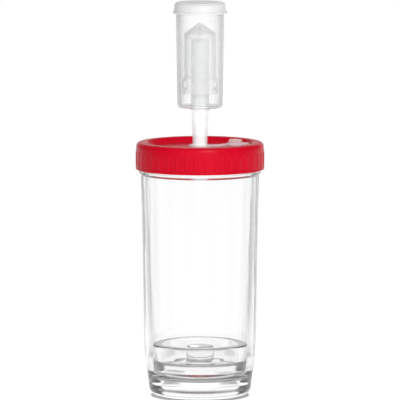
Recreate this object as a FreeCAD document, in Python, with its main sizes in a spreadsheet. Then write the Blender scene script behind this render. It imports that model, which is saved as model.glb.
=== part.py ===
"""Wide-mouth glass fermentation jar with a screw lid, a three-piece airlock and a glass weight.

Lengths are in millimetres.  The origin is the centre of the circle that the jar stands on, +Z is up
and +X is the side of the lid on which the spare plug lies.  Every outline is drawn as radius and
height in the XZ plane and turned round the Z axis.
"""
import FreeCAD, Part
import os
import re

import Sketcher

JAR = {
    "jar_rim_height": 178.9,
    "jar_mouth_radius": 38.7,
    "jar_lip_radius": 41.5,
    "jar_neck_radius": 41.2,
    "jar_neck_foot_height": 163.3,
    "jar_bead_radius": 43.6,
    "jar_bead_top_height": 162.8,
    "jar_bead_foot_height": 160.6,
    "jar_shoulder_radius": 42.35,
    "jar_shoulder_height": 159.3,
    "jar_waist_radius": 39.8,
    "jar_waist_height": 30.0,
    "jar_ankle_radius": 37.1,
    "jar_ankle_height": 11.5,
    "jar_heel_radius": 36.2,
    "jar_heel_round": 7.0,
    "jar_foot_inner_radius": 27.5,
    "jar_recess_radius": 26.0,
    "jar_recess_edge_height": 2.4,
    "jar_recess_top_height": 4.0,
    "jar_wall": 2.6,
    "jar_floor_height": 13.5,
    "jar_floor_wall_radius": 36.8,
    "jar_floor_round": 7.0,
    "jar_throat_height": 166.0,
    "jar_bead_inner_radius": 40.0,
    "jar_bead_inner_height": 161.5,
    "jar_throat_round": 3.0,
    "jar_lip_round": 1.2,
    "jar_bead_round": 0.8,
    "jar_blend_round": 100.0,
}

THREAD = {
    "thread_pitch": 6.35,
    "thread_crest_half": 0.6,
    "thread_root_half": 1.3,
    "thread_embed": 0.3,
    "jar_thread_crest_radius": 42.9,
    "jar_thread_start_height": 167.4,
    "jar_thread_turns": 1.25,
    "lid_thread_crest_radius": 41.9,
    "lid_thread_drop": 2.0,
    "lid_thread_turns": 1.0,
}

LID = {
    "lid_skirt_foot_height": 163.1,
    "lid_skirt_radius": 45.7,
    "lid_band_radius": 46.0,
    "lid_band_height": 1.7,
    "lid_top_height": 182.3,
    "lid_top_outer_radius": 45.4,
    "lid_top_inner_radius": 38.3,
    "lid_shoulder_height": 177.0,
    "lid_shoulder_round": 2.8,
    "lid_dish_radius": 35.7,
    "lid_dish_height": 178.4,
    "lid_dish_thickness": 1.9,
    "lid_inner_radius": 43.5,
    "lid_mouth_radius": 44.0,
    "lid_mouth_lead": 0.7,
    "lid_plug_radius": 38.2,
    "lid_seat_height": 180.3,
    "lid_hole_radius": 7.0,
    "lid_dish_round": 1.0,
    "lid_rim_round": 0.8,
    "rib_count": 42,
    "rib_radius": 0.7,
    "rib_centre_radius": 45.3,
    "rib_foot_height": 165.1,
    "rib_top_height": 176.5,
}

SEAL = {
    "seal_inner_radius": 38.5,
    "seal_outer_radius": 43.2,
    "seal_round": 0.3,
}

GROMMET = {
    "grommet_flange_radius": 8.3,
    "grommet_flange_thickness": 1.8,
    "grommet_foot_radius": 8.0,
    "grommet_foot_thickness": 1.6,
    "grommet_round": 0.4,
    "grommet_clearance": 0.03,
    "strap_width": 7.0,
    "strap_thickness": 1.6,
    "strap_root_radius": 7.2,
    "strap_fold_radius": 12.6,
    "strap_fold_gap": 0.05,
    "strap_root_height": 180.15,
    "strap_fold_height": 180.5,
    "strap_plug_height": 181.4,
    "strap_end_height": 182.0,
    "plug_offset": 25.2,
    "plug_radius": 5.1,
    "plug_tip_radius": 4.7,
    "plug_top_height": 184.1,
    "plug_collar_radius": 6.6,
    "plug_round": 0.7,
    "tab_end_radius": 35.0,
}

AIRLOCK = {
    "stem_foot_height": 160.5,
    "stem_foot_radius": 4.75,
    "stem_foot_bore": 3.5,
    "stem_top_radius": 5.83,
    "stem_top_bore": 4.4,
    "stem_top_bore_height": 205.0,
    "chamber_foot_height": 207.0,
    "chamber_foot_radius": 16.15,
    "chamber_foot_round": 2.4,
    "chamber_stem_round": 3.0,
    "chamber_wall": 1.2,
    "chamber_floor": 1.4,
    "chamber_shoulder_height": 272.2,
    "chamber_shoulder_radius": 17.15,
    "chamber_neck_radius": 17.0,
    "chamber_rim_height": 280.5,
    "riser_foot_radius": 6.6,
    "riser_radius": 6.4,
    "riser_bore": 5.2,
    "riser_bore_height": 212.0,
    "riser_top_height": 255.8,
    "riser_foot_round": 1.0,
}

FLOAT = {
    "float_foot_height": 217.2,
    "float_skirt_radius": 12.65,
    "float_skirt_top_height": 227.0,
    "float_barrel_foot_height": 229.0,
    "float_barrel_radius": 11.2,
    "float_wall": 1.0,
    "float_tip_wall": 1.3,
    "float_slant_drop": 0.5,
    "float_rib_wall_drop": 0.4,
    "float_rib_count": 4,
    "float_shoulder_height": 260.0,
    "float_tip_radius": 1.2,
    "float_tip_height": 267.3,
    "float_shoulder_round": 1.2,
    "float_skirt_round": 0.6,
    "float_rib_half": 0.5,
    "float_rib_overlap": 0.4,
    "float_slot_offset": 10.7,
    "float_slot_width": 1.4,
    "float_slot_foot_height": 221.0,
    "float_slot_top_height": 226.1,
}

CAP = {
    "cap_foot_height": 274.4,
    "cap_flange_radius": 19.4,
    "cap_flange_height": 1.4,
    "cap_skirt_radius": 18.5,
    "cap_shoulder_height": 281.6,
    "cap_shoulder_radius": 18.1,
    "cap_disc_radius": 16.8,
    "cap_top_height": 282.4,
    "cap_inner_radius": 17.1,
    "cap_shoulder_round": 0.8,
    "cap_flange_round": 0.4,
    "vent_diameter": 1.2,
    "vent_circle_radius": 8.0,
    "vent_count": 6,
}

WEIGHT = {
    "weight_foot_height": 13.5,
    "weight_foot_radius": 32.3,
    "weight_foot_round": 5.0,
    "weight_rim_height": 37.6,
    "weight_rim_radius": 34.0,
    "weight_rim_inner_radius": 27.3,
    "weight_rim_round": 1.4,
    "weight_rim_inner_round": 1.0,
    "weight_dish_radius": 26.3,
    "weight_dish_height": 24.3,
    "weight_dish_round": 3.0,
    "knob_foot_radius": 10.2,
    "knob_foot_round": 1.5,
    "knob_radius": 9.5,
    "knob_top_height": 35.8,
    "knob_round": 1.2,
}

TABLES = (JAR, THREAD, LID, SEAL, GROMMET, AIRLOCK, FLOAT, CAP, WEIGHT)
SHEET_NAME = "Dimensions"
FULL_TURN = 360.0
EDGE_TOLERANCE = 0.01
ORIGIN_POINT = (-1, 1)
AXIS_ACROSS = -1
AXIS_UP = -2
START = 1
END = 2
CENTRE = 3
UNSOLVED = 1.0


def formula(text):
    """The same sum with each word turned into the name of its cell."""
    return re.sub(r"[a-z]\w*", lambda word: SHEET_NAME + "." + word.group(), text)


def fill_sheet(doc):
    """Write every driving dimension into the sheet with its own alias."""
    sheet = doc.addObject("Spreadsheet::Sheet", SHEET_NAME)
    row = 1
    for table in TABLES:
        for alias, value in table.items():
            sheet.set("A%d" % row, alias.replace("_", " "))
            sheet.set("B%d" % row, str(value))
            sheet.setAlias("B%d" % row, alias)
            row += 1
    doc.recompute()


def new_body(doc, label):
    """An empty body whose label is the name of its sub-part."""
    body = doc.addObject("PartDesign::Body", label)
    body.Label = label
    return body


def origin_plane(body, role):
    """One of the body's own origin planes."""
    for feature in body.Origin.OriginFeatures:
        if feature.Role == role:
            return feature
    raise LookupError(role)


def new_sketch(body, name, role):
    """An empty sketch that lies on one of the body's origin planes."""
    sketch = body.newObject("Sketcher::SketchObject", name)
    sketch.AttachmentSupport = (origin_plane(body, role), "")
    sketch.MapMode = "FlatFace"
    return sketch


def hold(sketch, kind, axis, line, text):
    """Bind one coordinate of the start of a line to a sum of cells, or to the axis itself."""
    if text == "0":
        sketch.addConstraint(Sketcher.Constraint("PointOnObject", line, START, axis))
        return
    constraint = sketch.addConstraint(Sketcher.Constraint(kind, *ORIGIN_POINT, line, START, UNSOLVED))
    sketch.setExpression("Constraints[%d]" % constraint, formula(text))


def starting_point(doc, corner):
    """Where a corner is drawn before its constraints are solved."""
    across, up = [0.0 if text == "0" else float(doc.Dimensions.evalExpression(formula(text)))
                  for text in corner[1:]]
    return FreeCAD.Vector(across, up, 0)


def draw_outline(sketch, corners):
    """A closed outline through named corners, each given as a sum across and a sum up."""
    points = [starting_point(sketch.Document, corner) for corner in corners]
    count = len(corners)
    for index in range(count):
        sketch.addGeometry(Part.LineSegment(points[index], points[(index + 1) % count]), False)
    for index in range(count):
        sketch.addConstraint(Sketcher.Constraint("Coincident", index, END, (index + 1) % count, START))
    for index, (_, across, up) in enumerate(corners):
        hold(sketch, "DistanceX", AXIS_UP, index, across)
        hold(sketch, "DistanceY", AXIS_ACROSS, index, up)
    sketch.Document.recompute()


def turned(body, name, corners):
    """Turn an outline of radius and height a full turn round the Z axis."""
    sketch = new_sketch(body, name + "_outline", "XZ_Plane")
    draw_outline(sketch, corners)
    feature = body.newObject("PartDesign::Revolution", name)
    feature.Profile = sketch
    feature.ReferenceAxis = (sketch, ["V_Axis"])
    feature.Angle = FULL_TURN
    sketch.Visibility = False
    body.Document.recompute()
    return feature


def circles_at(shape, radius, height):
    """Names of the level circular edges that have this radius and height."""
    names = []
    for number, edge in enumerate(shape.Edges, 1):
        if not isinstance(edge.Curve, Part.Circle):
            continue
        same_radius = abs(edge.Curve.Radius - radius) < EDGE_TOLERANCE
        if same_radius and abs(edge.Curve.Center.z - height) < EDGE_TOLERANCE:
            names.append("Edge%d" % number)
    return names


def rounded(body, corners, corner_names, alias):
    """Round the turned edges that stand at the named corners of an outline."""
    feature = body.Tip
    edges = []
    for corner in corners:
        if corner[0] in corner_names:
            place = starting_point(body.Document, corner)
            found = circles_at(feature.Shape, place.x, place.y)
            if not found:
                raise LookupError(body.Label + " " + corner[0])
            edges += found
    fillet = body.newObject("PartDesign::Fillet", alias)
    fillet.Base = (feature, edges)
    fillet.setExpression("Radius", formula(alias))
    body.Document.recompute()
    return fillet


def helical_thread(body, name, root, crest, centre, turns):
    """A right-hand thread of the shared pitch, standing on a wall of the body."""
    sketch = new_sketch(body, name + "_section", "XZ_Plane")
    draw_outline(sketch, [
        ("root_foot", root, centre + " - thread_root_half"),
        ("crest_foot", crest, centre + " - thread_crest_half"),
        ("crest_top", crest, centre + " + thread_crest_half"),
        ("root_top", root, centre + " + thread_root_half"),
    ])
    helix = body.newObject("PartDesign::AdditiveHelix", name)
    helix.Profile = sketch
    helix.ReferenceAxis = (sketch, ["V_Axis"])
    helix.Mode = "pitch-turns-angle"
    helix.HasBeenEdited = True
    helix.setExpression("Pitch", formula("thread_pitch"))
    helix.setExpression("Turns", formula(turns))
    sketch.Visibility = False
    body.Document.recompute()
    return helix


def side_pad(body, name, corners, width):
    """A flat outline in the XZ plane made as thick as the width, half to each side."""
    sketch = new_sketch(body, name + "_outline", "XZ_Plane")
    draw_outline(sketch, corners)
    pad = body.newObject("PartDesign::Pad", name)
    pad.Profile = sketch
    pad.Midplane = True
    pad.setExpression("Length", formula(width))
    sketch.Visibility = False
    body.Document.recompute()
    return pad


def repeated(body, feature, name, count_alias):
    """Repeat one feature round the Z axis of its body, as often as the sheet says."""
    pattern = body.newObject("PartDesign::PolarPattern", name)
    pattern.Originals = [feature]
    pattern.Axis = (feature.Profile[0], [axis_name(feature.Profile[0])])
    pattern.Angle = FULL_TURN
    pattern.Occurrences = int(body.Document.Dimensions.get(count_alias))
    body.Tip = pattern
    body.Document.recompute()
    return pattern


def axis_name(sketch):
    """The sketch direction that runs along Z: its normal when it lies level, else its upright axis."""
    plane = sketch.AttachmentSupport[0][0]
    return "N_Axis" if plane.Role == "XY_Plane" else "V_Axis"


def make_jar(doc):
    """Tapered glass jar with a bead, a threaded neck, a thick rounded floor and a hollow foot."""
    body = new_body(doc, "glass_jar")
    corners = [
        ("recess_top", "0", "jar_recess_top_height"),
        ("recess_edge", "jar_recess_radius", "jar_recess_edge_height"),
        ("foot_inner", "jar_foot_inner_radius", "0"),
        ("heel", "jar_heel_radius", "0"),
        ("ankle", "jar_ankle_radius", "jar_ankle_height"),
        ("waist", "jar_waist_radius", "jar_waist_height"),
        ("shoulder", "jar_shoulder_radius", "jar_shoulder_height"),
        ("bead_foot", "jar_bead_radius", "jar_bead_foot_height"),
        ("bead_top", "jar_bead_radius", "jar_bead_top_height"),
        ("neck_foot", "jar_neck_radius", "jar_neck_foot_height"),
        ("lip_outer", "jar_lip_radius", "jar_rim_height"),
        ("lip_inner", "jar_mouth_radius", "jar_rim_height"),
        ("throat", "jar_mouth_radius", "jar_throat_height"),
        ("bead_inner", "jar_bead_inner_radius", "jar_bead_inner_height"),
        ("shoulder_inner", "jar_shoulder_radius - jar_wall", "jar_shoulder_height"),
        ("floor_wall", "jar_floor_wall_radius", "jar_floor_height"),
        ("floor_centre", "0", "jar_floor_height"),
    ]
    turned(body, "jar_wall_turned", corners)
    rounded(body, corners, ("floor_wall",), "jar_floor_round")
    rounded(body, corners, ("heel",), "jar_heel_round")
    rounded(body, corners, ("ankle", "waist"), "jar_blend_round")
    rounded(body, corners, ("throat", "bead_inner"), "jar_throat_round")
    rounded(body, corners, ("bead_foot", "bead_top"), "jar_bead_round")
    rounded(body, corners, ("lip_outer", "lip_inner"), "jar_lip_round")
    helical_thread(body, "jar_thread", "jar_neck_radius - thread_embed", "jar_thread_crest_radius",
                   "jar_thread_start_height", "jar_thread_turns")
    return body


def make_lid(doc):
    """Screw lid: dished top with a hole, a raised rim, an inner wall and a ribbed skirt."""
    body = new_body(doc, "screw_lid")
    underside = "lid_dish_height - lid_dish_thickness"
    corners = [
        ("hole_foot", "lid_hole_radius", underside),
        ("hole_top", "lid_hole_radius", "lid_dish_height"),
        ("dish_edge", "lid_dish_radius", "lid_dish_height"),
        ("rim_inner", "lid_top_inner_radius", "lid_top_height"),
        ("rim_outer", "lid_top_outer_radius", "lid_top_height"),
        ("skirt_top", "lid_skirt_radius", "lid_shoulder_height"),
        ("skirt_foot", "lid_skirt_radius", "lid_skirt_foot_height + lid_band_height"),
        ("band_top", "lid_band_radius", "lid_skirt_foot_height + lid_band_height"),
        ("band_foot", "lid_band_radius", "lid_skirt_foot_height"),
        ("mouth_foot", "lid_mouth_radius", "lid_skirt_foot_height"),
        ("mouth_top", "lid_inner_radius", "lid_skirt_foot_height + lid_mouth_lead"),
        ("seat_outer", "lid_inner_radius", "lid_seat_height"),
        ("seat_inner", "lid_plug_radius", "lid_seat_height"),
        ("plug_foot", "lid_plug_radius", underside),
    ]
    turned(body, "lid_shell", corners)
    rounded(body, corners, ("rim_outer",), "lid_shoulder_round")
    rounded(body, corners, ("rim_inner", "plug_foot"), "lid_rim_round")
    rounded(body, corners, ("dish_edge",), "lid_dish_round")
    add_grip_ribs(body)
    helical_thread(body, "lid_thread", "lid_inner_radius + thread_embed", "lid_thread_crest_radius",
                   "jar_thread_start_height - lid_thread_drop", "lid_thread_turns")
    return body


def circle_on_axis(body, name, height, distance, diameter):
    """A level sketch of one circle, at a distance along X from the Z axis."""
    sketch = new_sketch(body, name, "XY_Plane")
    sketch.setExpression("AttachmentOffset.Base.z", formula(height))
    circle = sketch.addGeometry(Part.Circle(), False)
    sketch.addConstraint(Sketcher.Constraint("PointOnObject", circle, CENTRE, AXIS_ACROSS))
    across = sketch.addConstraint(
        Sketcher.Constraint("DistanceX", *ORIGIN_POINT, circle, CENTRE, UNSOLVED))
    sketch.setExpression("Constraints[%d]" % across, formula(distance))
    width = sketch.addConstraint(Sketcher.Constraint("Diameter", circle, UNSOLVED))
    sketch.setExpression("Constraints[%d]" % width, formula(diameter))
    sketch.Visibility = False
    body.Document.recompute()
    return sketch


def add_grip_ribs(body):
    """Upright half-round ribs, evenly spaced round the skirt."""
    rib = body.newObject("PartDesign::Pad", "grip_rib")
    rib.Profile = circle_on_axis(body, "rib_section", "rib_foot_height", "rib_centre_radius",
                                 "rib_radius * 2")
    rib.setExpression("Length", formula("rib_top_height - rib_foot_height"))
    body.Document.recompute()
    repeated(body, rib, "grip_ribs", "rib_count")


def make_seal(doc):
    """Flat ring that the lid presses on the jar's rim."""
    body = new_body(doc, "seal_ring")
    corners = [
        ("inner_foot", "seal_inner_radius", "jar_rim_height"),
        ("outer_foot", "seal_outer_radius", "jar_rim_height"),
        ("outer_top", "seal_outer_radius", "lid_seat_height"),
        ("inner_top", "seal_inner_radius", "lid_seat_height"),
    ]
    turned(body, "seal_turned", corners)
    rounded(body, corners, ("inner_foot", "outer_foot", "inner_top", "outer_top"), "seal_round")
    return body


def stem_radius_at(height):
    """The outer radius of the tapered stem at a height, as a sum of cells."""
    slope = "(stem_top_radius - stem_foot_radius) / (chamber_foot_height - stem_foot_height)"
    return "stem_foot_radius + (" + height + " - stem_foot_height) * " + slope


def make_grommet(doc):
    """Flanged bush in the lid's hole, with the near half of the strap that carries the plug."""
    body = new_body(doc, "grommet")
    underside = "lid_dish_height - lid_dish_thickness"
    foot = underside + " - grommet_foot_thickness"
    top = "lid_dish_height + grommet_flange_thickness"
    corners = [
        ("bore_foot", stem_radius_at(foot) + " + grommet_clearance", foot),
        ("foot_outer", "grommet_foot_radius", foot),
        ("foot_top", "grommet_foot_radius", underside),
        ("neck_foot", "lid_hole_radius", underside),
        ("neck_top", "lid_hole_radius", "lid_dish_height"),
        ("flange_foot", "grommet_flange_radius", "lid_dish_height"),
        ("flange_top", "grommet_flange_radius", top),
        ("bore_top", stem_radius_at(top) + " + grommet_clearance", top),
    ]
    turned(body, "bush", corners)
    rounded(body, corners, ("foot_outer",), "grommet_round")
    side_pad(body, "strap_root", [
        ("root_foot", "strap_root_radius", "strap_root_height - strap_thickness"),
        ("fold_foot", "strap_fold_radius - strap_fold_gap", "strap_fold_height - strap_thickness"),
        ("fold_top", "strap_fold_radius - strap_fold_gap", "strap_fold_height"),
        ("root_top", "strap_root_radius", "strap_root_height"),
    ], "strap_width")
    return body


def make_plug(doc):
    """Spare plug for the grommet, upright on the far half of the strap, which ends in a pull tab."""
    body = new_body(doc, "stopper_plug")
    body.setExpression("Placement.Base.x", formula("plug_offset"))
    foot = "strap_plug_height - strap_thickness"
    corners = [
        ("centre_foot", "0", foot),
        ("collar_foot", "plug_collar_radius", foot),
        ("collar_top", "plug_collar_radius", "strap_plug_height"),
        ("plug_foot", "plug_radius", "strap_plug_height"),
        ("plug_top", "plug_tip_radius", "plug_top_height"),
        ("centre_top", "0", "plug_top_height"),
    ]
    turned(body, "plug_turned", corners)
    rounded(body, corners, ("plug_top",), "plug_round")
    side_pad(body, "strap_end", [
        ("fold_foot", "strap_fold_radius + strap_fold_gap - plug_offset",
         "strap_fold_height - strap_thickness"),
        ("plug_foot", "0", foot),
        ("tab_foot", "tab_end_radius - plug_offset", "strap_end_height - strap_thickness"),
        ("tab_top", "tab_end_radius - plug_offset", "strap_end_height"),
        ("plug_top", "0", "strap_plug_height"),
        ("fold_top", "strap_fold_radius + strap_fold_gap - plug_offset", "strap_fold_height"),
    ], "strap_width")
    return body


def make_airlock(doc):
    """Airlock body: a cup with a riser tube inside it and a tapered stem below it, in one piece."""
    body = new_body(doc, "airlock_body")
    floor = "chamber_foot_height + chamber_floor"
    corners = [
        ("bore_foot", "stem_foot_bore", "stem_foot_height"),
        ("stem_foot", "stem_foot_radius", "stem_foot_height"),
        ("stem_top", "stem_top_radius", "chamber_foot_height"),
        ("chamber_foot", "chamber_foot_radius", "chamber_foot_height"),
        ("shoulder", "chamber_shoulder_radius", "chamber_shoulder_height"),
        ("neck_foot", "chamber_neck_radius", "chamber_shoulder_height"),
        ("rim_outer", "chamber_neck_radius", "chamber_rim_height"),
        ("rim_inner", "chamber_neck_radius - chamber_wall", "chamber_rim_height"),
        ("floor_outer", "chamber_foot_radius - chamber_wall", floor),
        ("floor_inner", "riser_foot_radius", floor),
        ("riser_outer", "riser_radius", "riser_top_height"),
        ("riser_inner", "riser_bore", "riser_top_height"),
        ("riser_bore_foot", "riser_bore", "riser_bore_height"),
        ("bore_top", "stem_top_bore", "stem_top_bore_height"),
    ]
    turned(body, "chamber", corners)
    rounded(body, corners, ("stem_top",), "chamber_stem_round")
    rounded(body, corners, ("chamber_foot",), "chamber_foot_round")
    rounded(body, corners, ("floor_outer", "floor_inner"), "riser_foot_round")
    return body


def make_float(doc):
    """Bell that sits over the riser: pointed crown with cross ribs, and a flared, slotted skirt."""
    body = new_body(doc, "airlock_float")
    inner_barrel = "float_barrel_radius - float_wall"
    corners = [
        ("skirt_inner", "float_skirt_radius - float_wall", "float_foot_height"),
        ("skirt_outer", "float_skirt_radius", "float_foot_height"),
        ("flare_foot", "float_skirt_radius", "float_skirt_top_height"),
        ("flare_top", "float_barrel_radius", "float_barrel_foot_height"),
        ("shoulder", "float_barrel_radius", "float_shoulder_height"),
        ("tip_edge", "float_tip_radius", "float_tip_height"),
        ("tip", "0", "float_tip_height"),
        ("tip_inner", "0", "float_tip_height - float_tip_wall"),
        ("shoulder_inner", inner_barrel, "float_shoulder_height - float_slant_drop"),
        ("flare_inner_top", inner_barrel, "float_barrel_foot_height - float_slant_drop"),
        ("flare_inner_foot", "float_skirt_radius - float_wall", "float_skirt_top_height - float_slant_drop"),
    ]
    turned(body, "bell", corners)
    rounded(body, corners, ("shoulder",), "float_shoulder_round")
    rounded(body, corners, ("skirt_outer", "flare_foot"), "float_skirt_round")
    add_crown_ribs(body, inner_barrel)
    cut_skirt_slots(body)
    return body


def add_crown_ribs(body, inner_barrel):
    """Four upright ribs that meet under the crown and stand on the riser's mouth."""
    rib = side_pad(body, "crown_rib", [
        ("centre_foot", "0", "riser_top_height"),
        ("wall_foot", inner_barrel + " + float_rib_overlap", "riser_top_height"),
        ("wall_top", inner_barrel + " + float_rib_overlap", "float_shoulder_height - float_rib_wall_drop"),
        ("centre_top", "0", "float_tip_height - float_slant_drop"),
    ], "float_rib_half * 2")
    repeated(body, rib, "crown_ribs", "float_rib_count")


def cut_skirt_slots(body):
    """Two upright slots cut right through the skirt, which opens it in four places."""
    for side, name in ((1, "slots_right"), (-1, "slots_left")):
        near = "(float_slot_offset - float_slot_width / 2) * %d" % side
        far = "(float_slot_offset + float_slot_width / 2) * %d" % side
        sketch = new_sketch(body, name + "_outline", "XZ_Plane")
        draw_outline(sketch, [
            ("near_foot", near, "float_slot_foot_height"),
            ("far_foot", far, "float_slot_foot_height"),
            ("far_top", far, "float_slot_top_height"),
            ("near_top", near, "float_slot_top_height"),
        ])
        slot = body.newObject("PartDesign::Pocket", name)
        slot.Profile = sketch
        slot.Type = "ThroughAll"
        slot.Midplane = True
        sketch.Visibility = False
        body.Document.recompute()


def make_cap(doc):
    """Cap that drops over the airlock's rim, with a foot flange and small vent holes."""
    body = new_body(doc, "airlock_cap")
    corners = [
        ("centre_foot", "0", "chamber_rim_height"),
        ("inner_top", "cap_inner_radius", "chamber_rim_height"),
        ("inner_foot", "cap_inner_radius", "cap_foot_height"),
        ("flange_foot", "cap_flange_radius", "cap_foot_height"),
        ("flange_top", "cap_flange_radius", "cap_foot_height + cap_flange_height"),
        ("skirt_foot", "cap_skirt_radius", "cap_foot_height + cap_flange_height"),
        ("skirt_top", "cap_shoulder_radius", "cap_shoulder_height"),
        ("disc_foot", "cap_disc_radius", "cap_shoulder_height"),
        ("disc_top", "cap_disc_radius", "cap_top_height"),
        ("centre_top", "0", "cap_top_height"),
    ]
    turned(body, "cap_turned", corners)
    rounded(body, corners, ("skirt_top",), "cap_shoulder_round")
    rounded(body, corners, ("flange_foot", "flange_top"), "cap_flange_round")
    add_vents(body)
    return body


def add_vents(body):
    """A ring of small round holes through the top of the cap."""
    hole = body.newObject("PartDesign::Hole", "vent")
    hole.Profile = circle_on_axis(body, "vent_centre", "cap_top_height", "vent_circle_radius",
                                  "vent_diameter")
    hole.DepthType = "ThroughAll"
    hole.setExpression("Diameter", formula("vent_diameter"))
    body.Document.recompute()
    repeated(body, hole, "vents", "vent_count")


def make_weight(doc):
    """Solid glass weight: a thick dished disc with a knob in the middle to lift it by."""
    body = new_body(doc, "glass_weight")
    corners = [
        ("centre_foot", "0", "weight_foot_height"),
        ("foot_outer", "weight_foot_radius", "weight_foot_height"),
        ("rim_outer", "weight_rim_radius", "weight_rim_height"),
        ("rim_inner", "weight_rim_inner_radius", "weight_rim_height"),
        ("dish_outer", "weight_dish_radius", "weight_dish_height"),
        ("dish_inner", "knob_foot_radius", "weight_dish_height"),
        ("knob_outer", "knob_radius", "knob_top_height"),
        ("knob_centre", "0", "knob_top_height"),
    ]
    turned(body, "weight_turned", corners)
    rounded(body, corners, ("foot_outer",), "weight_foot_round")
    rounded(body, corners, ("rim_outer",), "weight_rim_round")
    rounded(body, corners, ("rim_inner",), "weight_rim_inner_round")
    rounded(body, corners, ("dish_outer",), "weight_dish_round")
    rounded(body, corners, ("dish_inner",), "knob_foot_round")
    rounded(body, corners, ("knob_outer",), "knob_round")
    return body


def check_features(doc):
    """Stop if any feature failed or any shape is missing or broken."""
    for feature in doc.Objects:
        if "Invalid" in feature.State or "Error" in feature.State:
            raise RuntimeError("%s is %s" % (feature.Label, feature.State))
        if feature.isDerivedFrom("PartDesign::Feature") and feature.Shape.isNull():
            raise RuntimeError(feature.Label + " has no shape")


def write_step(body):
    """Check the finished solid of a sub-part and write it under the name of its label."""
    shape = body.Shape
    if shape.isNull() or not shape.isValid() or len(shape.Solids) != 1:
        raise RuntimeError(body.Label + " is not one sound solid")
    shape.exportStep("parts/%s.step" % body.Label)
    print("%-14s %8.1f mm3  top %.2f" % (body.Label, shape.Volume, shape.BoundBox.ZMax))


def main():
    doc = FreeCAD.newDocument("fermentation_jar")
    fill_sheet(doc)
    makers = (make_jar, make_weight, make_seal, make_lid, make_grommet, make_plug, make_airlock,
              make_float, make_cap)
    bodies = [make(doc) for make in makers]
    doc.recompute()
    check_features(doc)
    os.makedirs("parts", exist_ok=True)
    for body in bodies:
        write_step(body)


main()
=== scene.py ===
"""Studio picture of a glass fermentation jar with a red screw lid, an airlock and a glass weight.

Outlines are given in millimetres as radius, height and the rounding of that corner, and are turned
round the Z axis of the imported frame.  Everything else is in metres.
"""
import math

import bmesh
import bpy
from mathutils import Euler, Matrix, Vector, noise


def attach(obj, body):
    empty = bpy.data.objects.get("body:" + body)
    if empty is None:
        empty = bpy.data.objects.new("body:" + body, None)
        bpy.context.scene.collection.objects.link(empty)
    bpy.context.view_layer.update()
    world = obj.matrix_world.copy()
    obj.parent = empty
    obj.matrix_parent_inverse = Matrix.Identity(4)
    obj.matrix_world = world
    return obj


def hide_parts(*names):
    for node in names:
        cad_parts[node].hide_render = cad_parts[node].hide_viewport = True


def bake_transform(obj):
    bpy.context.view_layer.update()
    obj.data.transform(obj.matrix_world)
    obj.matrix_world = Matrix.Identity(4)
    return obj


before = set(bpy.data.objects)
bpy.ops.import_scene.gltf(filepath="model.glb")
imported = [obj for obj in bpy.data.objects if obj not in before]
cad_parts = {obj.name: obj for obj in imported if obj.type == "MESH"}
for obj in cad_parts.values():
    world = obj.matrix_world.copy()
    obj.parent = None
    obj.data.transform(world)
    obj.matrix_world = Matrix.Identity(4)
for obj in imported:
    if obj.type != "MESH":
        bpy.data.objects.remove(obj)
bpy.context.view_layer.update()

MM = 0.001
FULL_TURN = 2 * math.pi
ARC_STEP = math.radians(9)
ON_AXIS = 1e-6

# The jar and its weight, in millimetres
JAR_TOP = 178.9
JAR_FLOOR = 13.5
MOUTH_RADIUS = 38.7
NECK_FOOT = 164
NECK_RADIUS = 41.2
NECK_WALL_FROM = 40.5
WAVE_HEIGHTS = (22, 156)
WAVE_RADIUS = 37.4
WALL_TAPER = 0.02
WAVE_DEPTH = 0.10
WAVE_TURN = 1.6
WAVE_LENGTH = 60
WEIGHT_FILM = 0.15
WEIGHT_TOP = 37.6
DISH_FLOOR = 24.3
KNOB_TOP = 35.8

# The screw thread, in millimetres
THREAD_PITCH = 6.35
THREAD_HALF = 1.3
THREAD_FLANK = 0.7
THREAD_FADE = 12
JAR_THREAD_START = 167.4
JAR_THREAD_TURNS = 1.25
JAR_THREAD_DEPTH = 1.65
LID_THREAD_DROP = 2.0
LID_THREAD_TURNS = 1.0
LID_THREAD_DEPTH = 1.55
LID_THREAD_TOP = 176

# The lid and its seal, in millimetres
LID_FOOT = 163.1
LID_TOP = 182.3
LID_RADIUS = 46.0
LID_REACH = 45.99
SKIRT_FROM = 45.4
DECK_FOOT = 176.5
DECK_TOP = 178.4
SEAL_TOP = 180.3
LID_INNER_RADIUS = 43.5
LID_HOLE_RADIUS = 7.0
RIB_COUNT = 42
RIB_SEGMENTS = 16
RIB_HEIGHT = 0.34
RIB_HALF_ANGLE = math.radians(1.0)
RIB_FOOT = 165.1
RIB_TOP = 176.5
RIB_FOOT_FADE = 0.6
RIB_TOP_FADE = 1.2

# Places along the silicone strap, in millimetres from the axis
STRAP_START = 7.2
STRAP_FOLD = 12.6
WAIST_LENGTH = 14
PLUG_OFFSET = 25.2
TAB_START = 31.9
RIDGE_PLACE = 33.6
TAB_END = 35.0

# Heights of the strap's top and its other sizes, in millimetres
START_TOP = 180.15
FOLD_TOP = 180.5
COLLAR_TOP = 181.4
TAB_TOP = 182.0
STRAP_WIDTH = 7.0
STRAP_THICKNESS = 1.6
STRAP_WAIST = 0.35
TAB_TIP_HALF_WIDTH = 0.05
RIDGE_SPACING = 1.1
RIDGE_HEIGHT = 0.25
STRAP_ROWS = 96
STRAP_AROUND = 24

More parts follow.
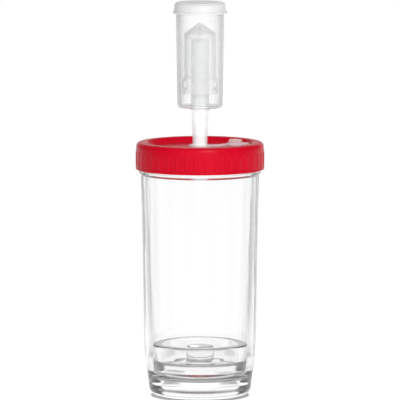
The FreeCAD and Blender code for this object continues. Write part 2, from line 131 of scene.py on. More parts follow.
# The airlock, in millimetres
CUP_FOOT = 207.0
CUP_FLOOR = 208.4
CUP_TOP = 280.5
STEM_FOOT = 160.5
RISER_TOP = 255.8
BELL_FOOT = 217.2
BELL_TOP = 267.3
SLOT_SPAN = (9.99, 11.4)
SLOT_HEIGHTS = (221.0, 226.1)
SLOT_HALF_LENGTH = 20.0
CROWN_RIB_HALF = 0.5
CROWN_RIB_REACH = 10.3
CROWN_RIB_FOOT = 255.85
CROWN_RIB_SHOULDER = 259.3
CROWN_RIB_PEAK = 266.3
CROWN_RIB_BEVEL = 0.12
CAP_FOOT = 274.4
CAP_SHOULDER = 281.6
CAP_TOP = 282.4
VENT_COUNT = 6
VENT_RADIUS = 0.6
VENT_CIRCLE = 8
VENT_CUTTER_LENGTH = 6
VENT_CUTTER_HEIGHT = 281.5


# Outlines and turned shapes

def arc_points(corner, before, after):
    """The points of one rounded corner of an outline, in millimetres."""
    place = Vector(corner[:2])
    to_before = Vector(before[:2]) - place
    to_after = Vector(after[:2]) - place
    if corner[2] == 0:
        return [place]
    reach = min(to_before.length, to_after.length)
    to_before.normalize()
    to_after.normalize()
    half = to_before.angle(to_after) / 2
    tangent = min(corner[2] / math.tan(half), reach * 0.98)
    radius = tangent * math.tan(half)
    middle = place + (to_before + to_after).normalized() * radius / math.sin(half)
    start = place + to_before * tangent - middle
    end = place + to_after * tangent - middle
    turn = math.pi - 2 * half
    steps = max(2, math.ceil(turn / ARC_STEP))
    points = []
    for step in range(steps + 1):
        share = step / steps
        blend = start * math.sin((1 - share) * turn) + end * math.sin(share * turn)
        points.append(middle + blend / math.sin(turn))
    return points


def smooth_outline(corners, closed, row=None):
    """An outline with rounded corners; row is the longest straight step, in millimetres."""
    count = len(corners)
    points = []
    for index, corner in enumerate(corners):
        ends = not closed and index in (0, count - 1)
        if ends or corner[2] == 0:
            points.append(Vector(corner[:2]))
        else:
            points += arc_points(corner, corners[index - 1], corners[(index + 1) % count])
    if row is None:
        return points
    finer = []
    pairs = list(zip(points, points[1:] + points[:1]))
    for start, end in pairs if closed else pairs[:-1]:
        pieces = max(1, math.ceil((end - start).length / row))
        finer += [start.lerp(end, piece / pieces) for piece in range(pieces)]
    if not closed:
        finer.append(points[-1])
    return finer


def new_piece(name, mesh_maker):
    """A linked object whose mesh is filled by mesh_maker(bm)."""
    bm = bmesh.new()
    mesh_maker(bm)
    bmesh.ops.recalc_face_normals(bm, faces=bm.faces)
    mesh = bpy.data.meshes.new(name)
    bm.to_mesh(mesh)
    bm.free()
    for polygon in mesh.polygons:
        polygon.use_smooth = True
    piece = bpy.data.objects.new(name, mesh)
    bpy.context.scene.collection.objects.link(piece)
    return piece


def even_shading(piece):
    """Normals that follow the broad faces, so that flats stay flat beside rounded edges."""
    modifier = piece.modifiers.new("even_shading", "WEIGHTED_NORMAL")
    modifier.weight = 80
    modifier.keep_sharp = True


def turn_outline(bm, outline, segments, push=None):
    """Turn an outline round Z; push(angle, radius, height) may move a point in or out.

    An outline that starts off the axis is joined back to its start."""
    rings = []
    for point in outline:
        if point.x < ON_AXIS:
            rings.append([bm.verts.new((0, 0, point.y * MM))])
            continue
        ring = []
        for step in range(segments):
            angle = FULL_TURN * step / segments
            radius = point.x + (push(angle, point.x, point.y) if push else 0)
            ring.append(bm.verts.new((radius * MM * math.cos(angle), radius * MM * math.sin(angle),
                                      point.y * MM)))
        rings.append(ring)
    closed = len(rings[0]) > 1
    for lower, upper in zip(rings, rings[1:] + rings[:1] if closed else rings[1:]):
        join_rings(bm, lower, upper)


def join_rings(bm, lower, upper):
    """Faces between two rings, either of which may be a single point on the axis."""
    count = max(len(lower), len(upper))
    for step in range(count):
        after = (step + 1) % count
        corners = [lower[step % len(lower)], lower[after % len(lower)],
                   upper[after % len(upper)], upper[step % len(upper)]]
        unique = list(dict.fromkeys(corners))
        if len(unique) > 2:
            bm.faces.new(unique)


def turned(name, corners, segments=192, closed=False, row=None, push=None):
    """A piece made by turning one rounded outline."""
    outline = smooth_outline(corners, closed, row)
    piece = new_piece(name, lambda bm: turn_outline(bm, outline, segments, push))
    even_shading(piece)
    return piece


def cut_away(piece, cutter):
    """Cut one shape out of a piece and drop the cutter."""
    modifier = piece.modifiers.new("cut", "BOOLEAN")
    modifier.operation = "DIFFERENCE"
    modifier.solver = "EXACT"
    modifier.object = cutter
    bpy.context.view_layer.objects.active = piece
    with bpy.context.temp_override(object=piece, active_object=piece, selected_objects=[piece]):
        while piece.modifiers[0] != modifier:
            bpy.ops.object.modifier_move_up(modifier=modifier.name)
        bpy.ops.object.modifier_apply(modifier=modifier.name)
    bpy.data.objects.remove(cutter)


def thread_push(angle, height, start, turns, depth):
    """How far a thread stands out of its wall at an angle and a height, in millimetres."""
    nearest = 0.0
    for turn in range(-1, math.ceil(turns) + 1):
        along = angle / FULL_TURN + turn
        if not 0 <= along <= turns:
            continue
        away = abs(height - start - along * THREAD_PITCH)
        fade = min(1.0, THREAD_FADE * along, THREAD_FADE * (turns - along))
        flank = min(1.0, max(0.0, (THREAD_HALF - away) / THREAD_FLANK))
        nearest = max(nearest, flank * flank * (3 - 2 * flank) * fade)
    return nearest * depth


# Materials

NOISE_MIDDLE = (0.3, 0.7)
EVEN = (1, 1, 1)
GLASS_IOR = 1.5
PLASTIC_IOR = 1.45


def new_material(name, **values):
    """A principled material; the values are its socket names in lower case with underscores."""
    material = bpy.data.materials.new(name)
    material.use_nodes = True
    sockets = {socket.name.lower().replace(" ", "_"): socket for socket in shader_of(material).inputs}
    for key, value in values.items():
        sockets[key].default_value = value
    return material


def shader_of(material):
    """The principled shader of a material."""
    return material.node_tree.nodes["Principled BSDF"]


def add_node(material, kind, **settings):
    """A new node with its plain settings; numbers go to the sockets of the same name."""
    node = material.node_tree.nodes.new(kind)
    for key, value in settings.items():
        node.inputs[key].default_value = value
    return node


def feed(material, socket, term):
    """Give a socket a number, or link another node's output to it."""
    if isinstance(term, (int, float)):
        socket.default_value = term
    else:
        material.node_tree.links.new(term, socket)


def arithmetic(material, operation, *terms):
    """One step of arithmetic; each term is a number or another node's output."""
    step = add_node(material, "ShaderNodeMath")
    step.operation = operation
    for socket, term in zip(step.inputs, terms):
        feed(material, socket, term)
    return step.outputs["Value"]


def spread_range(material, value, source, target, smooth=False):
    """Map a value from one range to another; each end is a number or another node's output."""
    spread = add_node(material, "ShaderNodeMapRange")
    if smooth:
        spread.interpolation_type = "SMOOTHSTEP"
    feed(material, spread.inputs["Value"], value)
    for ends, numbers in (("From", source), ("To", target)):
        for end, number in zip((" Min", " Max"), numbers):
            feed(material, spread.inputs[ends + end], number)
    return spread.outputs["Result"]


def object_coordinates(material, stretch):
    """Object coordinates, scaled along each axis."""
    places = add_node(material, "ShaderNodeTexCoord")
    mapping = add_node(material, "ShaderNodeMapping", Scale=stretch)
    material.node_tree.links.new(places.outputs["Object"], mapping.inputs["Vector"])
    return mapping.outputs["Vector"]


def noise_field(material, stretch, scale, detail):
    """A noise texture in object coordinates."""
    texture = add_node(material, "ShaderNodeTexNoise", Scale=scale, Detail=detail)
    material.node_tree.links.new(object_coordinates(material, stretch), texture.inputs["Vector"])
    return texture.outputs["Fac"]


def add_relief(material, layers):
    """Bump layers, each a noise field with a depth in metres, one after another."""
    links = material.node_tree.links
    below = None
    for field, depth in layers:
        bump = add_node(material, "ShaderNodeBump", Strength=1.0, Distance=depth)
        links.new(field, bump.inputs["Height"])
        if below:
            links.new(below, bump.inputs["Normal"])
        below = bump.outputs["Normal"]
    links.new(below, shader_of(material).inputs["Normal"])


def vary_roughness(material, field, low, high):
    """Let the middle of a noise field move the roughness between two values."""
    feed(material, shader_of(material).inputs["Roughness"],
         spread_range(material, field, NOISE_MIDDLE, (low, high)))


def vary_colour(material, field, low, high):
    """Let the middle of a noise field move the base colour between two colours."""
    ramp = add_node(material, "ShaderNodeValToRGB")
    for element, position, colour in zip(ramp.color_ramp.elements, NOISE_MIDDLE, (low, high)):
        element.position = position
        element.color = colour
    material.node_tree.links.new(field, ramp.inputs["Fac"])
    material.node_tree.links.new(ramp.outputs["Color"], shader_of(material).inputs["Base Color"])


def jar_glass():
    """Clear moulded glass: long upright waves and faint ripples from the mould."""
    material = new_material("jar_glass", base_color=(0.986, 0.988, 0.988, 1), transmission_weight=1.0,
                            ior=GLASS_IOR)
    waves = noise_field(material, (1, 1, 0.14), 75, 2)
    ripples = noise_field(material, (1, 1, 0.5), 260, 1)
    add_relief(material, [(waves, 0.00022), (ripples, 0.00001)])
    vary_roughness(material, noise_field(material, EVEN, 40, 2), 0.0, 0.02)
    return material


def weight_glass():
    """Clear pressed glass: soft ripples and a faint scuff here and there."""
    material = new_material("weight_glass", base_color=(0.978, 0.98, 0.98, 1), transmission_weight=1.0,
                            ior=GLASS_IOR)
    add_relief(material, [(noise_field(material, EVEN, 90, 2), 0.00012)])
    vary_roughness(material, noise_field(material, EVEN, 60, 3), 0.0, 0.04)
    return material


def lid_plastic():
    """Glossy red moulded plastic with a fine orange-peel surface."""
    material = new_material("lid_plastic", ior=1.46, specular_ior_level=0.12, subsurface_weight=0.05,
                            subsurface_scale=0.002)
    vary_colour(material, noise_field(material, EVEN, 60, 3),
                (0.53, 0.0, 0.013, 1), (0.57, 0.0, 0.016, 1))
    peel = noise_field(material, EVEN, 900, 2)
    sink = noise_field(material, (1, 1, 0.4), 45, 1)
    add_relief(material, [(sink, 0.00006), (peel, 0.000006)])
    vary_roughness(material, noise_field(material, EVEN, 300, 3), 0.26, 0.38)
    return material


def fade_with_angle(material, face_on, edge_on, power):
    """Thin milky plastic: clearer where it is seen square on, denser towards its edges."""
    weight = add_node(material, "ShaderNodeLayerWeight", Blend=0.5)
    curve = arithmetic(material, "POWER", weight.outputs["Facing"], power)
    feed(material, shader_of(material).inputs["Alpha"],
         spread_range(material, curve, (0.0, 1.0), (face_on, edge_on)))


def silicone():
    """Milky translucent silicone, soft and slightly dusty."""
    material = new_material("silicone", ior=1.41, subsurface_weight=0.3, subsurface_scale=0.004,
                            specular_ior_level=0.3)
    vary_colour(material, noise_field(material, EVEN, 200, 3),
                (0.80, 0.66, 0.68, 1), (0.88, 0.74, 0.76, 1))
    add_relief(material, [(noise_field(material, EVEN, 1400, 2), 0.00002)])
    vary_roughness(material, noise_field(material, EVEN, 500, 3), 0.38, 0.55)
    fade_with_angle(material, 0.5, 0.75, 1.5)
    return material


def clear_plastic(name, shade, face_on, edge_on, power):
    """Clear, slightly milky moulded plastic with faint flow lines; the base colour given as shade is
    painted light and shade, set apart for each part of one moulding.
    """
    material = new_material(name, ior=PLASTIC_IOR, specular_ior_level=0.2)
    red, green, blue = shade
    vary_colour(material, noise_field(material, (1, 1, 0.3), 110, 3),
                (red, green, blue, 1), (red + 0.03, green + 0.03, blue + 0.03, 1))
    flow = noise_field(material, (1, 1, 0.2), 160, 2)
    add_relief(material, [(flow, 0.000008)])
    vary_roughness(material, noise_field(material, EVEN, 150, 3), 0.2, 0.32)
    fade_with_angle(material, face_on, edge_on, power)
    return material


def frosted_plastic(name, face_on, edge_on):
    """Milky frosted plastic that lets light through."""
    material = new_material(name, ior=PLASTIC_IOR, specular_ior_level=0.3)
    vary_colour(material, noise_field(material, EVEN, 90, 3),
                (0.76, 0.765, 0.77, 1), (0.80, 0.805, 0.81, 1))
    add_relief(material, [(noise_field(material, EVEN, 1600, 2), 0.00002)])
    vary_roughness(material, noise_field(material, EVEN, 400, 3), 0.35, 0.5)
    fade_with_angle(material, face_on, edge_on, 2)
    return material


def finish_piece(piece, material, slot, body, *nodes):
    """Give a piece its material, its body and the CAD nodes that it stands for; the slot is not used.
    """
    piece.data.materials.append(material)
    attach(piece, body)
    if nodes:
        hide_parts(*nodes)


# The glass

def glass_wave(angle, height):
    """Uneven wall of moulded glass, in millimetres."""
    place = Vector((WAVE_TURN * math.cos(angle), WAVE_TURN * math.sin(angle), height / WAVE_LENGTH))
    return WAVE_DEPTH * noise.noise(place)


def build_jar():
    """Tapered jar with its bead, threaded neck, thick floor and hollow foot."""
    corners = [
        (0, 4.0, 0), (26.0, 2.4, 2), (27.5, 0, 0.6), (36.2, 0, 7), (37.1, 11.5, 100),
        (39.8, 30, 120), (42.35, 159.3, 0.8), (43.6, 160.6, 0.8), (43.6, 162.8, 0.8),
        (NECK_RADIUS, 163.3, 0.3), (41.5, JAR_TOP, 1.2), (MOUTH_RADIUS, JAR_TOP, 1.2),
        (MOUTH_RADIUS, 166, 4), (40.0, 161.5, 4), (39.75, 159.3, 4), (36.8, JAR_FLOOR, 7),
        (0, JAR_FLOOR, 0),
    ]
    wave_foot, wave_top = WAVE_HEIGHTS

    def push(angle, radius, height):
        if radius > NECK_WALL_FROM and height > NECK_FOOT:
            return thread_push(angle, height, JAR_THREAD_START, JAR_THREAD_TURNS, JAR_THREAD_DEPTH)
        inner_wall = radius < WAVE_RADIUS + (height - wave_foot) * WALL_TAPER
        return glass_wave(angle, height) if wave_foot < height < wave_top and inner_wall else 0

    jar = turned("jar", corners, segments=256, row=1.0, push=push)
    jar.visible_shadow = False
    finish_piece(jar, jar_glass(), "jar_glass", "jar", "glass_jar")


def build_weight():
    """Solid disc with a dished top and a knob, on a film of air over the jar's floor."""
    foot = JAR_FLOOR + WEIGHT_FILM
    corners = [
        (0, foot, 0), (32.3, foot, 5), (34.0, WEIGHT_TOP, 1.4), (27.3, WEIGHT_TOP, 1.0),
        (26.3, DISH_FLOOR, 3), (10.2, DISH_FLOOR, 1.5), (9.5, KNOB_TOP, 1.2), (0, KNOB_TOP, 0),
    ]
    weight = turned("weight", corners, segments=192, row=1.5)
    weight.visible_shadow = False
    finish_piece(weight, weight_glass(), "weight_glass", "weight", "glass_weight")


# The lid

def rib_push(angle, height):
    """How far a grip rib stands out of the lid's skirt, in millimetres."""
    spacing = FULL_TURN / RIB_COUNT
    away = abs((angle + spacing / 2) % spacing - spacing / 2)
    across = max(0.0, 1 - (away / RIB_HALF_ANGLE) ** 2)
    ends = min(1.0, (height - RIB_FOOT) / RIB_FOOT_FADE, (RIB_TOP - height) / RIB_TOP_FADE)
    return RIB_HEIGHT * math.sqrt(across) * max(0.0, ends)


def build_lid(plastic):
    """Screw lid: dished top, raised rim, ribbed skirt with a foot band, inner wall and thread."""
    corners = [
        (LID_HOLE_RADIUS, DECK_FOOT, 0.2), (LID_HOLE_RADIUS, DECK_TOP, 0.3), (35.7, DECK_TOP, 1.0),
        (38.3, LID_TOP, 0.9), (SKIRT_FROM, LID_TOP, 2.9), (45.7, 177.0, 6), (45.65, 164.8, 0.2),
        (LID_RADIUS, 164.6, 0.2), (LID_RADIUS, LID_FOOT, 0.3), (44.0, LID_FOOT, 0.2),
        (LID_INNER_RADIUS, 163.8, 0.2), (LID_INNER_RADIUS, SEAL_TOP, 0.4), (38.2, SEAL_TOP, 0.4),
        (38.2, DECK_FOOT, 0.8),
    ]

    def push(angle, radius, height):
        if radius > SKIRT_FROM:
            return min(rib_push(angle, height), LID_REACH - radius)
        if abs(radius - LID_INNER_RADIUS) < 0.1 and height < LID_THREAD_TOP:
            start = JAR_THREAD_START - LID_THREAD_DROP
            return -thread_push(angle, height, start, LID_THREAD_TURNS, LID_THREAD_DEPTH)
        return 0

    lid = turned("lid", corners, segments=RIB_COUNT * RIB_SEGMENTS, closed=True, row=0.7, push=push)
    finish_piece(lid, plastic, "lid_plastic", "lid", "screw_lid")


def build_seal(rubber):
    """Flat sealing ring with softly rounded edges."""
    corners = [(38.5, JAR_TOP, 0.35), (43.2, JAR_TOP, 0.35), (43.2, SEAL_TOP, 0.35),
               (38.5, SEAL_TOP, 0.35)]
    seal = turned("seal", corners, segments=160, closed=True)
    finish_piece(seal, rubber, "silicone", "seal", "seal_ring")


# The silicone grommet, its strap and its plug

def build_bush(rubber):
    """Flanged bush that holds the airlock's stem."""
    corners = [
        (5.17, 174.9, 0.2), (8.0, 174.9, 0.5), (8.0, DECK_FOOT, 0.3), (LID_HOLE_RADIUS, DECK_FOOT, 0.2),
        (LID_HOLE_RADIUS, DECK_TOP, 0.2), (8.3, DECK_TOP, 0.4), (8.3, 180.2, 0.6), (5.28, 180.2, 0.3),
    ]
    bush = turned("grommet_bush", corners, segments=128, closed=True)
    finish_piece(bush, rubber, "silicone", "lid", "grommet")


def strap_top(across):
    """Height of the strap's top above the frame's origin, in millimetres."""
    if across < STRAP_FOLD:
        return START_TOP + (FOLD_TOP - START_TOP) * (across - STRAP_START) / (STRAP_FOLD - STRAP_START)
    if across < PLUG_OFFSET:
        return FOLD_TOP + (COLLAR_TOP - FOLD_TOP) * (across - STRAP_FOLD) / (PLUG_OFFSET - STRAP_FOLD)
    return COLLAR_TOP + (TAB_TOP - COLLAR_TOP) * (across - PLUG_OFFSET) / (TAB_END - PLUG_OFFSET)


def strap_half_width(across):
    """Half the strap's width: narrower between the bush and the plug, and round at the tab's end."""
    waist = STRAP_WAIST * math.sin(math.pi * min(1.0, max(0.0, (across - STRAP_START) / WAIST_LENGTH)))
    left = TAB_END - across
    half = STRAP_WIDTH / 2 - waist
    if left < half:
        half = math.sqrt(max(0.0, half * half - (half - left) ** 2)) + TAB_TIP_HALF_WIDTH
    return half


def tab_drop(across):
    """How far the tab's top lies under the strap's, in millimetres: nothing on a grip ridge."""
    if across <= TAB_START:
        return 0.0
    ridge = max(0.0, math.cos(FULL_TURN * (across - RIDGE_PLACE) / RIDGE_SPACING))
    return RIDGE_HEIGHT * (1 - ridge)


def strap_ring(across):
    """The points round the strap at one distance from the axis, in metres."""
    half = strap_half_width(across)
    thick = STRAP_THICKNESS / 2
    ring = []
    for turn in range(STRAP_AROUND):
        angle = FULL_TURN * turn / STRAP_AROUND
        side = math.copysign(abs(math.cos(angle)) ** 0.35, math.cos(angle))
        rise = math.copysign(abs(math.sin(angle)) ** 0.5, math.sin(angle))
        over = thick - (tab_drop(across) if rise > 0 else 0)
        ring.append((across * MM, side * half * MM, (strap_top(across) - thick + rise * over) * MM))
    return ring


def build_strap(rubber):
    """Strap from the bush to the end of the pull tab, with three grip ridges on the tab."""
    def fill(bm):
        rings = []
        for row in range(STRAP_ROWS + 1):
            across = STRAP_START + (TAB_END - STRAP_START) * row / STRAP_ROWS
            rings.append([bm.verts.new(point) for point in strap_ring(across)])
        for lower, upper in zip(rings, rings[1:]):
            join_rings(bm, lower, upper)
        bm.faces.new(rings[0])
        bm.faces.new(rings[-1])

    strap = new_piece("plug_strap", fill)
    strap.data.materials.append(rubber)
    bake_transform(strap)


def build_plug(rubber):
    """Upright spare plug with its collar."""
    corners = [
        (0, 179.85, 0), (6.6, 179.85, 0.5), (6.6, COLLAR_TOP, 0.5), (5.1, COLLAR_TOP, 0.4),
        (5.05, 182.2, 0.2), (4.75, 184.1, 0.8), (3.3, 184.1, 0.4), (3.1, 183.6, 0.3), (0, 183.6, 0),
    ]
    plug = turned("spare_plug", corners, segments=96)
    plug.data.transform(Matrix.Translation((PLUG_OFFSET * MM, 0, 0)))
    finish_piece(plug, rubber, "silicone", "plug", "stopper_plug")


# The airlock

def build_airlock():
    """Cup of the airlock, and the riser and stem that are moulded with it."""
    cup = turned("airlock_cup", [
        (6.2, CUP_FOOT, 0.3), (16.15, CUP_FOOT, 2.4), (17.15, 272.2, 0.1), (17.0, 272.5, 0.1),
        (17.0, CUP_TOP, 0.4), (15.8, CUP_TOP, 0.4), (14.95, CUP_FLOOR, 1.2), (6.2, CUP_FLOOR, 0.3),
    ], segments=160, closed=True, row=2.0)
    stem = turned("airlock_stem", [
        (3.5, STEM_FOOT, 0.3), (4.75, STEM_FOOT, 0.4), (5.8, 204.6, 3), (8.4, 206.95, 2),
        (8.4, CUP_FOOT, 0), (6.2, CUP_FOOT, 0), (6.2, CUP_FLOOR, 0), (4.79, CUP_FLOOR, 0),
        (4.4, 205.0, 1),
    ], segments=96, closed=True, row=2.0)
    riser = turned("airlock_riser", [
        (4.79, CUP_FLOOR, 0), (7.6, CUP_FLOOR, 0), (6.6, 209.6, 1.5), (6.4, RISER_TOP, 0.3),
        (5.2, RISER_TOP, 0.3), (5.2, 212.0, 0.4),
    ], segments=96, closed=True, row=2.0)
    for piece in (cup, stem, riser):
        piece.visible_shadow = False
    # The cup, stem and riser are one moulding; their different base greys are painted shade on the cup
    # and riser and painted light on the stem.
    finish_piece(cup, clear_plastic("cup_plastic", (0.57, 0.58, 0.58), 0.012, 0.85, 1.7),
                 "clear_plastic", "airlock", "airlock_body")
    finish_piece(stem, clear_plastic("stem_plastic", (0.90, 0.96, 0.955), 0.42, 0.7, 1.5),
                 "clear_plastic", "airlock")
    finish_piece(riser, clear_plastic("riser_plastic", (0.66, 0.68, 0.68), 0.42, 0.6, 1.5),
                 "clear_plastic", "airlock")


def box_shape(name, low, high):
    """A plain block, used as a cutter."""
    def fill(bm):
        bmesh.ops.create_cube(bm, size=1.0)
        for vertex in bm.verts:
            vertex.co = Vector([low[axis] + (vertex.co[axis] + 0.5) * (high[axis] - low[axis])
                                for axis in range(3)])
    return new_piece(name, fill)


def build_float(plastic):
    """Bell with a pointed crown, cross ribs and a flared skirt with four slots."""
    corners = [
        (11.65, BELL_FOOT, 0.2), (12.65, BELL_FOOT, 0.6), (12.65, 227.0, 0.6), (11.2, 229.0, 0.6),
        (11.2, 260.0, 1.3), (1.2, BELL_TOP, 0.6), (0, BELL_TOP, 0), (0, 266.0, 0), (10.2, 259.5, 0.5),
        (10.2, 228.5, 0.4), (11.65, 226.5, 0.4),
    ]
    bell = turned("airlock_bell", corners, segments=144, row=1.5)
    near, far = SLOT_SPAN
    foot, top = SLOT_HEIGHTS
    for left, right in ((near, far), (-far, -near)):
        cutter = box_shape("slot_cutter", Vector((left, -SLOT_HALF_LENGTH, foot)) * MM,
                           Vector((right, SLOT_HALF_LENGTH, top)) * MM)
        cut_away(bell, cutter)
    finish_piece(bell, plastic, "frosted_plastic", "float", "airlock_float")
    for turn in range(2):
        rib = crown_rib("crown_rib_%d" % turn, turn * math.pi / 2)
        finish_piece(rib, plastic, "frosted_plastic", "float")


def crown_rib(name, angle):
    """One upright rib right across the inside of the crown."""
    half = CROWN_RIB_HALF * MM
    reach = CROWN_RIB_REACH
    shape = [(-reach, CROWN_RIB_FOOT), (reach, CROWN_RIB_FOOT), (reach, CROWN_RIB_SHOULDER),
             (0, CROWN_RIB_PEAK), (-reach, CROWN_RIB_SHOULDER)]

    def fill(bm):
        sides = []
        for side in (-half, half):
            sides.append([bm.verts.new((across * MM, side, up * MM)) for across, up in shape])
        bm.faces.new(sides[0])
        bm.faces.new(sides[1])
        join_rings(bm, sides[0], sides[1])
        bmesh.ops.bevel(bm, geom=bm.edges[:], offset=CROWN_RIB_BEVEL * MM, segments=2,
                        affect="EDGES")
        bmesh.ops.rotate(bm, verts=bm.verts, cent=(0, 0, 0),
                         matrix=Euler((0, 0, angle)).to_matrix())

    rib = new_piece(name, fill)
    even_shading(rib)
    return rib


def vent_cutter(angle):
    """A pin that cuts one vent through the cap's top."""
    def fill(bm):
        bmesh.ops.create_cone(bm, cap_ends=True, segments=20, radius1=VENT_RADIUS * MM,
                              radius2=VENT_RADIUS * MM, depth=VENT_CUTTER_LENGTH * MM)
        place = Vector((VENT_CIRCLE * math.cos(angle), VENT_CIRCLE * math.sin(angle),
                        VENT_CUTTER_HEIGHT)) * MM
        bmesh.ops.translate(bm, verts=bm.verts, vec=place)
    return new_piece("vent_cutter", fill)


def build_cap(plastic):
    """Cap with a raised disc, a foot flange and a ring of vents."""
    corners = [
        (0, CUP_TOP, 0), (17.1, CUP_TOP, 0.5), (17.1, CAP_FOOT, 0.2), (19.4, CAP_FOOT, 0.4),
        (19.4, 275.8, 0.4), (18.5, 275.9, 0.3), (18.1, CAP_SHOULDER, 0.9), (16.8, CAP_SHOULDER, 0.2),
        (16.8, CAP_TOP, 0.4), (0, CAP_TOP, 0),
    ]
    cap = turned("airlock_lid", corners, segments=144, row=2.0)
    for turn in range(VENT_COUNT):
        cut_away(cap, vent_cutter(FULL_TURN * turn / VENT_COUNT))
    finish_piece(cap, plastic, "frosted_plastic", "cap", "airlock_cap")


# Studio

VIEW_DISTANCE = 4.0
VIEW_ELEVATION = math.radians(6.5)
VIEW_WIDTH = 0.286
VIEW_TARGET = Vector((0, 0, 0.1405))
SENSOR_WIDTH = 36.0
FLOOR_REACH = 14
FLOOR_HEIGHT = -0.0002
FLOOR_GLOW = 0.97
SHADE_HEIGHT = -0.0001
SHADE_EXTENT = 10
SHADE_REACH = (0.1, 0.6)
FAN_COUNT = 8
FAN_EDGE = (0.25, -0.6)
FAN_DEPTH = (-0.3, 0.1)
FAN_DENSITY = (0.15, 0.6)
CONTACT_HEIGHT = -0.00005
CONTACT_EXTENT = 0.05
CONTACT_EDGE = (0.0362, 0.0345)
CONTACT_DENSITY = 0.65
SKY_RISE = (0.15, 0.5)
SKY_TOP = 0.3
SIDE_EDGE = (0.4, 0.15)


def plain_surface(name, colour, glow):
    """A matt surface that can also glow."""
    material = new_material(name, base_color=colour, roughness=0.9, specular_ior_level=0.0)
    shader_of(material).inputs["Emission Color"].default_value = (1, 1, 1, 1)
    shader_of(material).inputs["Emission Strength"].default_value = glow
    return material


def stage_sheet(name, reach, height, material):
    """A level square sheet round the axis that belongs to the studio."""
    def fill(bm):
        corners = [(-reach, -reach), (reach, -reach), (reach, reach), (-reach, reach)]
        bm.faces.new([bm.verts.new((across, along, height)) for across, along in corners])

    sheet = new_piece(name, fill)
    sheet.data.materials.append(material)
    return sheet


def soft_step(material, value, edge):
    """A smooth rise from 0 to 1 between the two values of an edge."""
    return spread_range(material, value, edge, (0.0, 1.0), smooth=True)


def split_axes(material, place):
    """The node whose outputs are the X, Y and Z of a place."""
    split = add_node(material, "ShaderNodeSeparateXYZ")
    material.node_tree.links.new(place, split.inputs["Vector"])
    return split


def distance(material, place):
    """How far a place is from the origin."""
    length = add_node(material, "ShaderNodeVectorMath")
    length.operation = "LENGTH"
    material.node_tree.links.new(place, length.inputs[0])
    return length.outputs["Value"]


def fan_pattern(material, place, count, edge):
    """A pattern round the Z axis, 0 in so many directions and 1 half-way between them."""
    split = split_axes(material, place)
    angle = arithmetic(material, "ARCTAN2", split.outputs["X"], split.outputs["Y"])
    wave = arithmetic(material, "COSINE", arithmetic(material, "MULTIPLY", angle, count))
    return soft_step(material, wave, edge)


def add_glass_shade():
    """A sheet on the floor that is seen only through glass; its fans draw the glass's dark edges.

    The fans lie between the eight main directions, and are fainter before the object than behind it."""
    shade = plain_surface("shade_fans", (0.02, 0.02, 0.02, 1), 0.0)
    place = add_node(shade, "ShaderNodeTexCoord").outputs["Object"]
    strength = spread_range(shade, split_axes(shade, place).outputs["Y"], FAN_DEPTH, FAN_DENSITY)
    fans = arithmetic(shade, "MULTIPLY", fan_pattern(shade, place, FAN_COUNT, FAN_EDGE), strength)
    density = arithmetic(shade, "MULTIPLY", fans,
                         soft_step(shade, distance(shade, place), SHADE_REACH))
    feed(shade, shader_of(shade).inputs["Alpha"], density)
    sheet = stage_sheet("glass_shade", SHADE_EXTENT, SHADE_HEIGHT, shade)
    sheet.visible_camera = False
    sheet.visible_diffuse = False
    sheet.visible_glossy = False
    sheet.visible_shadow = False


def add_contact_shade():
    """The soft shade under the jar's foot."""
    shade = plain_surface("contact_shade", (0.03, 0.03, 0.03, 1), 0.0)
    place = add_node(shade, "ShaderNodeTexCoord").outputs["Object"]
    disc = soft_step(shade, distance(shade, place), CONTACT_EDGE)
    feed(shade, shader_of(shade).inputs["Alpha"], arithmetic(shade, "MULTIPLY", disc, CONTACT_DENSITY))
    sheet = stage_sheet("contact_shade", CONTACT_EXTENT, CONTACT_HEIGHT, shade)
    sheet.visible_diffuse = False
    sheet.visible_shadow = False


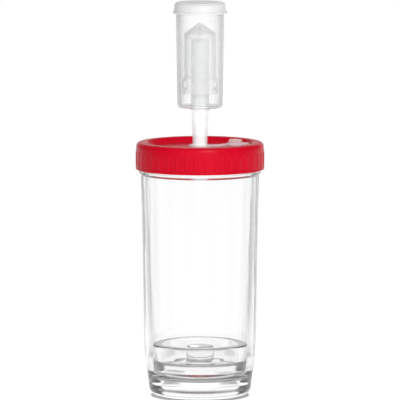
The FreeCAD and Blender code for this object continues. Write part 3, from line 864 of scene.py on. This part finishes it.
def build_world():
    """A dim even sky; its horizon is bright before and behind the object and dark at both sides."""
    world = bpy.data.worlds.new("studio")
    bpy.context.scene.world = world
    world.use_nodes = True
    place = add_node(world, "ShaderNodeTexCoord").outputs["Generated"]
    horizon = spread_range(world, fan_pattern(world, place, 2, SIDE_EDGE), (0.0, 1.0), (1.0, 0.0))
    sky = spread_range(world, split_axes(world, place).outputs["Z"], SKY_RISE, (horizon, SKY_TOP))
    background = world.node_tree.nodes["Background"]
    background.inputs["Color"].default_value = (1, 1, 1, 1)
    feed(world, background.inputs["Strength"], sky)


def build_studio():
    """Pale glowing floor, a shade for the glass, a dim world and soft lamps."""
    stage_sheet("floor", FLOOR_REACH, FLOOR_HEIGHT,
                plain_surface("pale_floor", (0.1, 0.1, 0.1, 1), FLOOR_GLOW))
    add_glass_shade()
    add_contact_shade()
    build_world()
    add_lamp("key", (0.35, -1.3, 0.8), 0.4, 15)
    add_lamp("fill", (-1.1, -0.9, 0.9), 0.9, 1)
    add_lamp("top", (0.0, 0.4, 1.6), 1.2, 4)


def add_lamp(name, place, size, power):
    """A square soft lamp that faces the object."""
    data = bpy.data.lights.new(name, "AREA")
    data.size = size
    data.energy = power
    lamp = bpy.data.objects.new(name, data)
    lamp.location = place
    lamp.rotation_euler = (VIEW_TARGET - Vector(place)).to_track_quat("-Z", "Y").to_euler()
    bpy.context.scene.collection.objects.link(lamp)


def add_camera():
    """A long lens a little above the object's middle, looking along +Y."""
    data = bpy.data.cameras.new("camera")
    data.sensor_width = SENSOR_WIDTH
    data.lens = SENSOR_WIDTH * VIEW_DISTANCE / VIEW_WIDTH
    data.clip_end = 60
    camera = bpy.data.objects.new("camera", data)
    camera.location = VIEW_TARGET + VIEW_DISTANCE * Vector(
        (0, -math.cos(VIEW_ELEVATION), math.sin(VIEW_ELEVATION)))
    camera.rotation_euler = (math.pi / 2 - VIEW_ELEVATION, 0, 0)
    bpy.context.scene.collection.objects.link(camera)
    bpy.context.scene.camera = camera


build_jar()
build_weight()
rubber = silicone()
build_lid(lid_plastic())
build_seal(rubber)
build_bush(rubber)
build_strap(rubber)
build_plug(rubber)
build_airlock()
build_float(frosted_plastic("float_plastic", 0.2, 0.8))
build_cap(frosted_plastic("cap_plastic", 0.75, 0.95))
build_studio()
add_camera()
bpy.context.scene.view_settings.view_transform = "Standard"
bpy.context.scene.cycles.transparent_max_bounces = 48
